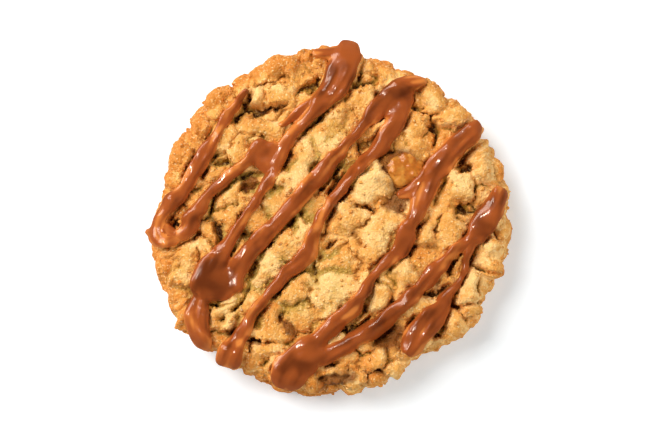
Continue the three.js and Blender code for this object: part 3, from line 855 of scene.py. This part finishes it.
def buildDough(material):
    rule = crustRule
    rings = int(profileAlong[-1] / rule["spacing"])
    flat, faces = discGrid(rings, profileAlong[-1] / rings)
    places, outwards = overRound(flat[:, 0], flat[:, 1])
    reach = np.hypot(flat[:, 0], flat[:, 1])
    share = 1 - (1 - rule["rimShare"]) * easeBetween(reach, rule["rimFrom"], rule["rimTo"])
    share *= easeBetween(profileAlong[-1] - reach, rule["heelFade"][1], rule["heelFade"][0])
    height, marks = crustShape(flat[:, 0], flat[:, 1])
    places += outwards * (height * share)[:, None]
    lastRing = np.arange(len(places) - 6 * rings, len(places))
    under = np.stack([lastRing, np.full(len(lastRing), len(places)), np.roll(lastRing, -1)], axis=1)
    places = np.concatenate([places, np.zeros((1, 3))])
    dough = newObject("cookieDough", meshFrom("cookieDough", places, np.concatenate([faces, under])))
    writeMarks(dough.data, {name: np.append(values, 0) for name, values in marks.items()})
    addTree(dough, makeReliefTree(), {**doughPiece, "Material": material})
    mesh = applyModifiers(dough)
    print("dough crust made,", len(mesh.polygons), "faces")
    return dough


doughMaterial = makeDoughMaterial()
dough = buildDough(doughMaterial)


# caramel lies on a smoothed copy of the dough's height
caramelPiece = {
    "cell": 0.4, "mapMargin": 6, "mapFrom": 40, "closing": 1.8, "blur": 0.8, "levelBlur": 2.6,
    "rimCarry": 3.2, "rimReach": 2.5, "rimDrop": 0.5,
    "leastHeight": 1.0, "heightPerWidth": 0.27, "fullWidth": 5.5, "keel": 1.3,
    "poolHeight": 2.3, "poolSquare": 0.75, "poolFlat": 0.7, "poolSubdivisions": 4,
    "smears": {  # strands that lie as a film: share of the height, sunk by
        "westDrip": (0.95, 0.1), "appleTongue": (0.6, 0.2), "farThread": (0.6, 0.2),
        "northSmear": (0.7, 0.3), "westFilm": (0.7, 0.1),
    },
    "step": 0.5, "sides": 32, "tip": 0.3, "tipRound": 0.4, "flatness": (0.9, 0.62), "widening": (4.5, 9),
    "lumpiness": 0.13, "lumpLength": 4.0, "lumpSeed": 61, "stray": (0.26, 3.6, 71),
    "flowHeight": 0.13, "flowWidth": 1.2, "flowLength": 8.0, "flowSeed": 83, "poolCalm": (0.6, 1.4),
    "voxel": 0.345, "smoothing": (0.5, 4), "owners": 6, "edgeShare": 0.5, "deepShare": 0.65, "deepest": 6.0,
    # the last entry lightens the caramel near the rim as painted light
    "thickBlur": 40, "deepBlur": 6, "rimPaintedGlow": (0.15, 41, 47),
}


def heightMap(mesh):
    look = caramelPiece
    tree = BVHTree.FromPolygons([v.co for v in mesh.vertices], [p.vertices for p in mesh.polygons])
    half, cell = cookieForm["radius"] + look["mapMargin"], look["cell"]
    axis = np.arange(-half, half + cell, cell)
    heights = np.zeros((len(axis), len(axis)))
    down = Vector((0, 0, -1))
    for i, x in enumerate(axis):
        for j, y in enumerate(axis):
            hit = tree.ray_cast(Vector((x, y, look["mapFrom"])), down)[0]
            if hit is not None:
                heights[i, j] = hit.z
    return axis, heights


def spread(grid, radius, cell, pick):
    reach = int(round(radius / cell))
    best = grid.copy()
    for i in range(-reach, reach + 1):
        for j in range(-reach, reach + 1):
            if i * i + j * j <= reach * reach:
                best = pick(best, np.roll(grid, (i, j), (0, 1)))
    return best


def caramelGround(mesh):
    look = caramelPiece
    axis, low = heightMap(mesh)
    x, y = np.meshgrid(axis, axis, indexing="ij")
    reach = np.hypot(x, y)
    edge = cookieForm["radius"] + swellAt(np.arctan2(y, x), cookieForm["radius"]) - look["rimCarry"]
    widened = spread(low, look["rimCarry"] + look["rimReach"], look["cell"], np.maximum)
    beyond = np.clip(reach - edge, 0, None)
    low = np.where(reach > edge, np.maximum(low, widened - look["rimDrop"] * beyond), low)
    closed = spread(low, look["closing"], look["cell"], np.maximum)
    closed = -spread(-closed, look["closing"], look["cell"], np.maximum)
    rough, smooth = (blurGrid(closed, look[blur], look["cell"]) for blur in ("blur", "levelBlur"))
    return {"axis": axis, "rough": np.maximum(rough, 0), "smooth": np.maximum(smooth, 0), "bare": low}


# narrow strands follow the crust, pools lie level
def groundAt(ground, x, y, level=0):
    rough, smooth = (sampleGrid(ground["axis"], ground[kind], x, y) for kind in ("rough", "smooth"))
    return (1 - level) * rough + level * smooth


# the edges of the melt wander a little
def strayed(x, y):
    far, length, seed = caramelPiece["stray"]
    shiftX, shiftY = (waves(length, seed + way, x.ravel(), y.ravel()).reshape(x.shape) for way in (0, 1))
    return x + far * shiftX, y + far * shiftY


def turnedAt(x, y, flat, turn):
    cos, sin = math.cos(math.radians(turn)), math.sin(math.radians(turn))
    return x + flat[:, 0] * cos - flat[:, 1] * sin, y + flat[:, 0] * sin + flat[:, 1] * cos


def strandShell(stations, ground, heightShare, sunkBy):
    look = caramelPiece
    route, along = smoothRoute(stations, look["step"])
    heading, width = headingOf(route), route[:, 2]
    toEnd = np.minimum(along, along[-1] - along)
    rounding = (1 - np.clip(1 - (toEnd + look["tip"]) / (width / 2), 0, 1) ** 2) ** look["tipRound"]
    lumps = 1 + look["lumpiness"] * waves(look["lumpLength"], look["lumpSeed"], route[:, 0], route[:, 1])
    fullHeight = look["leastHeight"] + look["heightPerWidth"] * np.minimum(width, look["fullWidth"])
    height = fullHeight * rounding * lumps * heightShare
    level = easeBetween(width, *look["widening"])[:, None]
    flatness = look["flatness"][0] + (look["flatness"][1] - look["flatness"][0]) * level
    turn = np.linspace(0, 2 * math.pi, look["sides"], endpoint=False)[None, :]
    across, lift = (np.sign(v) * np.abs(v) ** flatness for v in (np.cos(turn), np.sin(turn)))
    offset = (width / 2 * rounding)[:, None] * across
    x = route[:, :1] + heading[:, 1:] * offset
    y = route[:, 1:2] - heading[:, :1] * offset
    x, y = strayed(x, y)
    reach = np.where(lift > 0, height[:, None], look["keel"] * rounding[:, None])
    z = groundAt(ground, x, y, level) - sunkBy + lift * reach
    points = np.stack([x, y, z], axis=2).reshape(-1, 3)
    sides, rings = look["sides"], len(route)
    faces = []
    for ring in range(rings - 1):
        for i in range(sides):
            j = (i + 1) % sides
            a, b = ring * sides, (ring + 1) * sides
            faces += [(a + i, a + j, b + j), (a + i, b + j, b + i)]
    for i in range(1, sides - 1):
        faces.append((0, i + 1, i))
        last = (rings - 1) * sides
        faces.append((last, last + i, last + i + 1))
    return points, np.array(faces)


def poolShell(row, ball, ground):
    look = caramelPiece
    x, y, length, width, turn, share = row
    points = ball[0]
    around = np.sign(points[:, :2]) * np.abs(points[:, :2]) ** look["poolSquare"]
    px, py = strayed(*turnedAt(x, y, around * (length / 2, width / 2), turn))
    up = points[:, 2]
    dome = share * look["poolHeight"] * np.abs(up) ** look["poolFlat"]
    pz = groundAt(ground, px, py, easeBetween(width, *look["widening"]))
    pz = pz + np.where(up > 0, dome, up * look["keel"])
    return np.stack([px, py, pz], axis=1), ball[1]


caramelLook = {
    "thin": tint(214, 127, 57), "body": tint(162, 80, 33), "thick": tint(104, 46, 15),
    "patch": (5.0, 2.0, 0.5), "patchShare": 1.2, "streak": 0.52,
    "bodyFrom": (0.5, 1.8), "thickFrom": (1.8, 4.4),
    "gloss": (2.2, 2.0, 0.5), "glossFrom": (0.3, 0.75), "roughness": (0.09, 0.24), "specular": 0.35,
    "ripple": (1.6, 2.0, 0.5), "bump": (0.15, 0.3), "subsurface": (0.1, (1.0, 0.5, 0.2), 0.5),
}


def makeCaramelMaterial():
    look = caramelLook
    material, tree, shader = newMaterial("softCaramel")
    place = placeInMm(tree)
    patch = centred(tree, noiseAt(tree, place, *look["patch"]))
    thickness = calc(tree, "MULTIPLY_ADD", patch, look["patchShare"], markAt(tree, "thickness"))
    thickness = calc(tree, "MULTIPLY_ADD", markAt(tree, "flow"), look["streak"], thickness)
    color = mixColor(tree, ramp(tree, thickness, *look["bodyFrom"]), look["thin"], look["body"])
    color = mixColor(tree, ramp(tree, thickness, *look["thickFrom"]), color, look["thick"])
    gloss = noiseAt(tree, place, *look["gloss"])
    dressShader(tree, shader, look["subsurface"], {
        "Base Color": color, "Roughness": ramp(tree, gloss, *look["glossFrom"], *look["roughness"]),
        "Normal": bumped(tree, noiseAt(tree, place, *look["ripple"]), *look["bump"]),
        "Specular IOR Level": look["specular"],
    })
    return material


def blurOverMesh(mesh, values, times):
    ends = np.empty(len(mesh.edges) * 2, np.int32)
    mesh.edges.foreach_get("vertices", ends)
    first, second = ends.reshape(-1, 2).T
    count = len(values)
    neighbours = np.bincount(ends, minlength=count)
    for time in range(times):
        total = np.bincount(first, values[second], count) + np.bincount(second, values[first], count)
        values = total / neighbours
    return values


# how thick the caramel is at each place and how it ran there, for its colour and its ridges
def markFlow(mesh, ground):
    look = caramelPiece
    routes, halves, headings, runs = [], [], [], []
    for stations in strandRows.values():
        route, along = smoothRoute(stations, look["step"])
        routes.append(route[:, :2])
        halves.append(route[:, 2] / 2)
        headings.append(headingOf(route))
        runs.append(along + look["flowLength"] * stations[0][0])
    routes, halves, headings, runs = (np.concatenate(rows) for rows in (routes, halves, headings, runs))
    tree = treeOver(routes)
    count = len(mesh.vertices)
    thickness, owner = np.zeros(count, np.float32), np.zeros(count, int)
    edgeShare = look["edgeShare"]
    for i, vertex in enumerate(mesh.vertices):
        for co, nearest, distance in tree.find_n((vertex.co.x, vertex.co.y, 0), look["owners"]):
            across = math.sqrt(max(0.0, 1 - (distance / halves[nearest]) ** 2))
            thick = halves[nearest] * (edgeShare + (1 - edgeShare) * across)
            if thick > thickness[i]:
                thickness[i], owner[i] = thick, nearest
    places, normals = pointsOf(mesh, "vertices", "co"), pointsOf(mesh, "vertex_normals", "vector")
    away, heading = places[:, :2] - routes[owner], headings[owner]
    sideways = away[:, 0] * heading[:, 1] - away[:, 1] * heading[:, 0]
    run = runs[owner] + (away * heading).sum(axis=1)
    flow = waves(1.0, look["flowSeed"], sideways / look["flowWidth"], run / look["flowLength"])
    for row in poolRows:
        flow *= easeBetween(ovalReach(places[:, 0], places[:, 1], row[:5])[2], *look["poolCalm"])
    places[:, 2] += look["flowHeight"] * flow * np.maximum(normals[:, 2], 0)
    mesh.vertices.foreach_set("co", places.astype(np.float32).ravel())
    mesh.update()
    crust = sampleGrid(ground["axis"], ground["bare"], places[:, 0], places[:, 1])
    deep = blurOverMesh(mesh, np.clip(places[:, 2] - crust, 0, look["deepest"]), look["deepBlur"])
    thickness = blurOverMesh(mesh, thickness, look["thickBlur"])
    thickness = (1 - look["deepShare"]) * thickness + look["deepShare"] * deep
    # near the rim the caramel takes a lighter colour: painted light seen through and off it, which also
    # offsets the crust falling away beneath
    share, start, end = look["rimPaintedGlow"]
    thickness *= 1 - share * easeBetween(np.hypot(places[:, 0], places[:, 1]), start, end)
    writeMarks(mesh, {"thickness": thickness, "flow": flow})


def buildCaramel(material, ground):
    look = caramelPiece
    ball = icoBall(look["poolSubdivisions"])
    shells = []
    for name, row in strandRows.items():
        shells.append(strandShell(row, ground, *look["smears"].get(name, (1, 0))))
    shells += [poolShell(row, ball, ground) for row in poolRows]
    caramel = newObject("caramelDrizzle", meshFrom("caramelDrizzle", *joinedShells(shells)))
    remesh = caramel.modifiers.new("oneMelt", "REMESH")
    remesh.mode = "VOXEL"
    remesh.voxel_size = look["voxel"]
    remesh.use_smooth_shade = True
    smooth = caramel.modifiers.new("settle", "SMOOTH")
    smooth.factor, smooth.iterations = look["smoothing"]
    mesh = applyModifiers(caramel)
    mesh.materials.clear()
    mesh.materials.append(material)
    markFlow(mesh, ground)
    print("caramel made,", len(mesh.polygons), "faces")
    return caramel


applePiece = {
    "bits": [  # x, y, length, width, turn, height above the crust, from pale to amber
        (20.2, 13.4, 10.2, 9, 20, 1.8, 1.0), (1.6, -31.6, 6, 3.6, 40, 0.3, 0.0),
    ],
    "subdivisions": 5, "square": 0.82, "sink": 2.2, "askew": 0.22, "askewSeed": 8, "askewWays": (0.5, 1.5),
    "dents": [(0.08, 0.3), (0.05, 0.8), (0.02, 2.0)],  # share of the width, waves in a millimetre
    "dentStep": 10,
    "pale": tint(236, 190, 116), "amber": tint(184, 104, 32), "edge": tint(124, 62, 18),
    "core": tint(220, 150, 62),
    "edgeFrom": (0.75, 0.1), "coreNoise": (2.4, 2.0, 0.5), "coreFrom": (0.42, 0.62), "coreShare": 0.7,
    "ripple": (0.9, 2.0, 0.5), "bump": (0.25, 0.5), "roughness": 0.3,
    "subsurface": (0.2, (1.0, 0.6, 0.25), 1.0),
}


# bits of baked apple, rounded blocks sunk in the crust
def appleShell(row, ball, ground, shift):
    look = applePiece
    x, y, length, width, turn, height, ripe = row
    square = np.sign(ball[0]) * np.abs(ball[0]) ** look["square"]
    px, py = turnedAt(x, y, square[:, :2] * (length / 2, width / 2), turn)
    base = float(groundAt(ground, np.array([x]), np.array([y]))[0])
    up = square[:, 2]
    ways = [Vector((look["askewSeed"], shift, way)) for way in look["askewWays"]]
    leanX, leanY = (look["askew"] * noise.noise(way) for way in ways)
    pz = base + np.where(up > 0, up * height, up * look["sink"]) + leanX * (px - x) + leanY * (py - y)
    points = np.stack([px, py, pz], axis=1)
    dent, start = np.zeros(len(points)), Vector((shift, 0, 0))
    for share, often in look["dents"]:
        dent += share * width * np.array([noise.noise(Vector(p) * often + start) for p in points])
    return points + ball[0] * dent[:, None], ball[1]


def makeAppleMaterial():
    look = applePiece
    material, tree, shader = newMaterial("bakedApple")
    place = placeInMm(tree)
    ripe = markAt(tree, "ripe")
    color = mixColor(tree, ripe, look["pale"], look["amber"])
    low = calc(tree, "MULTIPLY", ramp(tree, markAt(tree, "lift"), *look["edgeFrom"]), ripe)
    color = mixColor(tree, low, color, look["edge"])
    core = ramp(tree, noiseAt(tree, place, *look["coreNoise"]), *look["coreFrom"], 0.0, look["coreShare"])
    dressShader(tree, shader, look["subsurface"], {
        "Base Color": mixColor(tree, core, color, look["core"]), "Roughness": look["roughness"],
        "Normal": bumped(tree, noiseAt(tree, place, *look["ripple"]), *look["bump"]),
    })
    return material


def buildApple(ground):
    look = applePiece
    ball = icoBall(look["subdivisions"])
    shells = [appleShell(row, ball, ground, look["dentStep"] * i) for i, row in enumerate(look["bits"])]
    apple = newObject("appleBits", meshFrom("appleBits", *joinedShells(shells)))
    ripe = np.repeat([row[-1] for row in look["bits"]], len(ball[0]))
    writeMarks(apple.data, {"ripe": ripe, "lift": np.tile(ball[0][:, 2], len(look["bits"]))})
    apple.data.materials.append(makeAppleMaterial())
    apple.data.shade_smooth()
    print("apple bits made,", len(apple.data.polygons), "faces")
    return apple


crumbPiece = {
    "Spacing": 1.3, "On Plates": 0.25, "In Gaps": 1.0, "Low": 0.22, "High": 0.62,
    "Fray": 0.1, "Fray Length": 0.6, "Seed": 5,
}

crumbRule = {
    "gapFrom": (-0.1, 0.5), "wall": (3.0, 5.0), "density": 2.0, "subdivisions": 2,
    "stretch": ((0.7, 0.7, 0.6), (1.4, 1.2, 1.0)), "tone": (0.1, 0.8), "frayNoise": (1.0, 2.0, 0.5),
}


# loose crumbs lie on the crust, more of them in the gaps
def makeCrumbTree():
    rule = crumbRule
    tree, given, result = newTree("looseCrumbs", crumbPiece)

    def drawn(low, high, kind="FLOAT"):
        inputs = {"Min": low, "Max": high, "Seed": given["Seed"]}
        node = addNode(tree, "FunctionNodeRandomValue", inputs, data_type=kind)
        return socketNamed(node.outputs, "Value")

    mark = addNode(tree, "GeometryNodeInputNamedAttribute", {"Name": "hollow"}, data_type="FLOAT")
    hollow = socketNamed(mark.outputs, "Attribute")
    place = addNode(tree, "GeometryNodeInputPosition").outputs["Position"]
    height = addNode(tree, "ShaderNodeSeparateXYZ", {"Vector": place}).outputs["Z"]
    chance = ramp(tree, hollow, *rule["gapFrom"], given["On Plates"], given["In Gaps"])
    chance = calc(tree, "MULTIPLY", chance, ramp(tree, height, *rule["wall"]))
    scatter = addNode(tree, "GeometryNodeDistributePointsOnFaces", {
        "Mesh": given["Geometry"], "Distance Min": given["Spacing"], "Density Max": rule["density"],
        "Density Factor": chance, "Seed": given["Seed"],
    }, distribute_method="POISSON")
    stretch = drawn(*rule["stretch"], "FLOAT_VECTOR")
    ball = addNode(tree, "GeometryNodeMeshIcoSphere", {"Radius": 1.0, "Subdivisions": rule["subdivisions"]})
    crumbs = addNode(tree, "GeometryNodeInstanceOnPoints", {
        "Points": scatter.outputs["Points"], "Instance": ball.outputs["Mesh"],
        "Scale": vectorCalc(tree, "SCALE", stretch, drawn(given["Low"], given["High"])),
        "Rotation": drawn((0, 0, 0), (2 * math.pi,) * 3, "FLOAT_VECTOR"),
    }).outputs["Instances"]
    crumbs = addNode(tree, "GeometryNodeStoreNamedAttribute", {
        "Geometry": crumbs, "Name": "tone", "Value": drawn(*rule["tone"]),
    }, data_type="FLOAT", domain="INSTANCE").outputs["Geometry"]
    real = addNode(tree, "GeometryNodeRealizeInstances", {"Geometry": crumbs}).outputs["Geometry"]
    wave = noiseAt(tree, scaledBy(tree, place, given["Fray Length"]), *rule["frayNoise"], "Color")
    wave = vectorCalc(tree, "SUBTRACT", wave, (0.5, 0.5, 0.5))
    shift = vectorCalc(tree, "SCALE", wave, calc(tree, "MULTIPLY", given["Fray"], 2.0))
    frayed = addNode(tree, "GeometryNodeSetPosition", {"Geometry": real, "Offset": shift})
    dressTree(tree, frayed.outputs["Geometry"], given["Material"], result)
    return tree


def buildCrumbs(crust, material):
    crumbs = newObject("looseCrumbs", crust.data.copy())
    addTree(crumbs, makeCrumbTree(), {**crumbPiece, "Material": material})
    mesh = applyModifiers(crumbs)
    print("loose crumbs made,", len(mesh.polygons), "faces")
    return crumbs


ground = caramelGround(dough.data)
caramel = buildCaramel(makeCaramelMaterial(), ground)
apple = buildApple(ground)
crumbs = buildCrumbs(dough, doughMaterial)
finishPiece(dough, "cookie")
finishPiece(caramel)
finishPiece(apple)
finishPiece(crumbs)


# floor, light and camera
studio = {
    "viewElevation": 86, "lens": 100, "sensor": 36, "frameWidth": 660, "mmPerPixel": 0.262,
    "aim": (0.13, 0.3, 13.0), "clip": (0.01, 50),
    "floorSize": 4.0, "floorHeight": -0.0002, "floorColor": (0.93, 0.93, 0.93, 1), "floorRoughness": 0.9,
    "floorSpecular": 0.1, "floorGlow": (0.15, 0.205, 0.235, 1),
    "worldStrength": 0.13, "worldColor": (1, 0.92, 0.82, 1), "sheenColor": (1, 0.88, 0.76),
    "lightAim": (0, 0, 0.01),
    "lights": {  # place, size, power, lights the dough, shown in reflections
        "keyBox": ((-0.52, 0.35, 0.7), (0.7, 0.7), 12.2, True, False),
        "sheenBox": ((-0.45, 0.36, 0.6), (0.7, 0.7), 0.9, False, True),
        "glossBox": ((-0.4, 0.31, 0.62), (0.12, 0.12), 2.8, False, True),
        "edgeStrip": ((-0.43, 0.34, 0.2), (0.5, 0.2), 3.5, False, True),
        "rightFill": ((0.85, 0.1, 0.55), (0.8, 0.5), 4.6, True, False),
        "frontFill": ((-0.1, -0.85, 0.5), (0.9, 0.6), 1.7, True, False),
    },
}


def areaLight(name, place, size, power, target):
    light = bpy.data.lights.new(name, "AREA")
    light.shape = "RECTANGLE"
    light.size, light.size_y = size
    light.energy = power
    obj = newObject(name, light)
    obj.location = place
    obj.rotation_euler = (Vector(target) - Vector(place)).to_track_quat("-Z", "Y").to_euler()
    return obj


def buildStudio():
    look = studio
    half = look["floorSize"] / 2
    corners = [(-half, -half, 0), (half, -half, 0), (half, half, 0), (-half, half, 0)]
    floor = newObject("studioFloor", meshFrom("studioFloor", corners, [(0, 1, 2, 3)]))
    material, tree, shader = newMaterial("paleFloor")
    feedAll(tree, shader.inputs, {
        "Base Color": look["floorColor"], "Roughness": look["floorRoughness"],
        "Specular IOR Level": look["floorSpecular"],
        "Emission Color": look["floorGlow"], "Emission Strength": 1,
    })
    floor.data.materials.append(material)
    floor.location.z = look["floorHeight"]
    floor.visible_glossy = False  # no white sheen on the caramel that runs over the rim

    scene = bpy.context.scene
    world = bpy.data.worlds.new("softRoom")
    scene.world = world
    world.use_nodes = True
    background = world.node_tree.nodes["Background"].inputs
    feedAll(world.node_tree, background, {"Color": look["worldColor"], "Strength": look["worldStrength"]})

    for name, (place, size, power, lit, shown) in look["lights"].items():
        light = areaLight(name, place, size, power, look["lightAim"])
        light.visible_diffuse, light.visible_glossy = lit, shown
        if shown:
            light.data.color = look["sheenColor"]

    camera = bpy.data.cameras.new("photoCamera")
    camera.lens, camera.sensor_width = look["lens"], look["sensor"]
    camera.clip_start, camera.clip_end = look["clip"]
    obj = newObject("photoCamera", camera)
    distance = look["frameWidth"] * look["mmPerPixel"] * mm * look["lens"] / look["sensor"]
    elevation = math.radians(look["viewElevation"])
    back = Vector((0, -math.cos(elevation), math.sin(elevation)))
    middle = Vector((*cookieForm["middle"], 0))
    obj.location = (Vector(look["aim"]) - middle) * mm + back * distance
    obj.rotation_euler = (-back).to_track_quat("-Z", "Y").to_euler()
    scene.camera = obj
    scene.view_settings.view_transform = "Standard"
    print("studio ready, camera", round(distance, 3), "m away")


buildStudio()
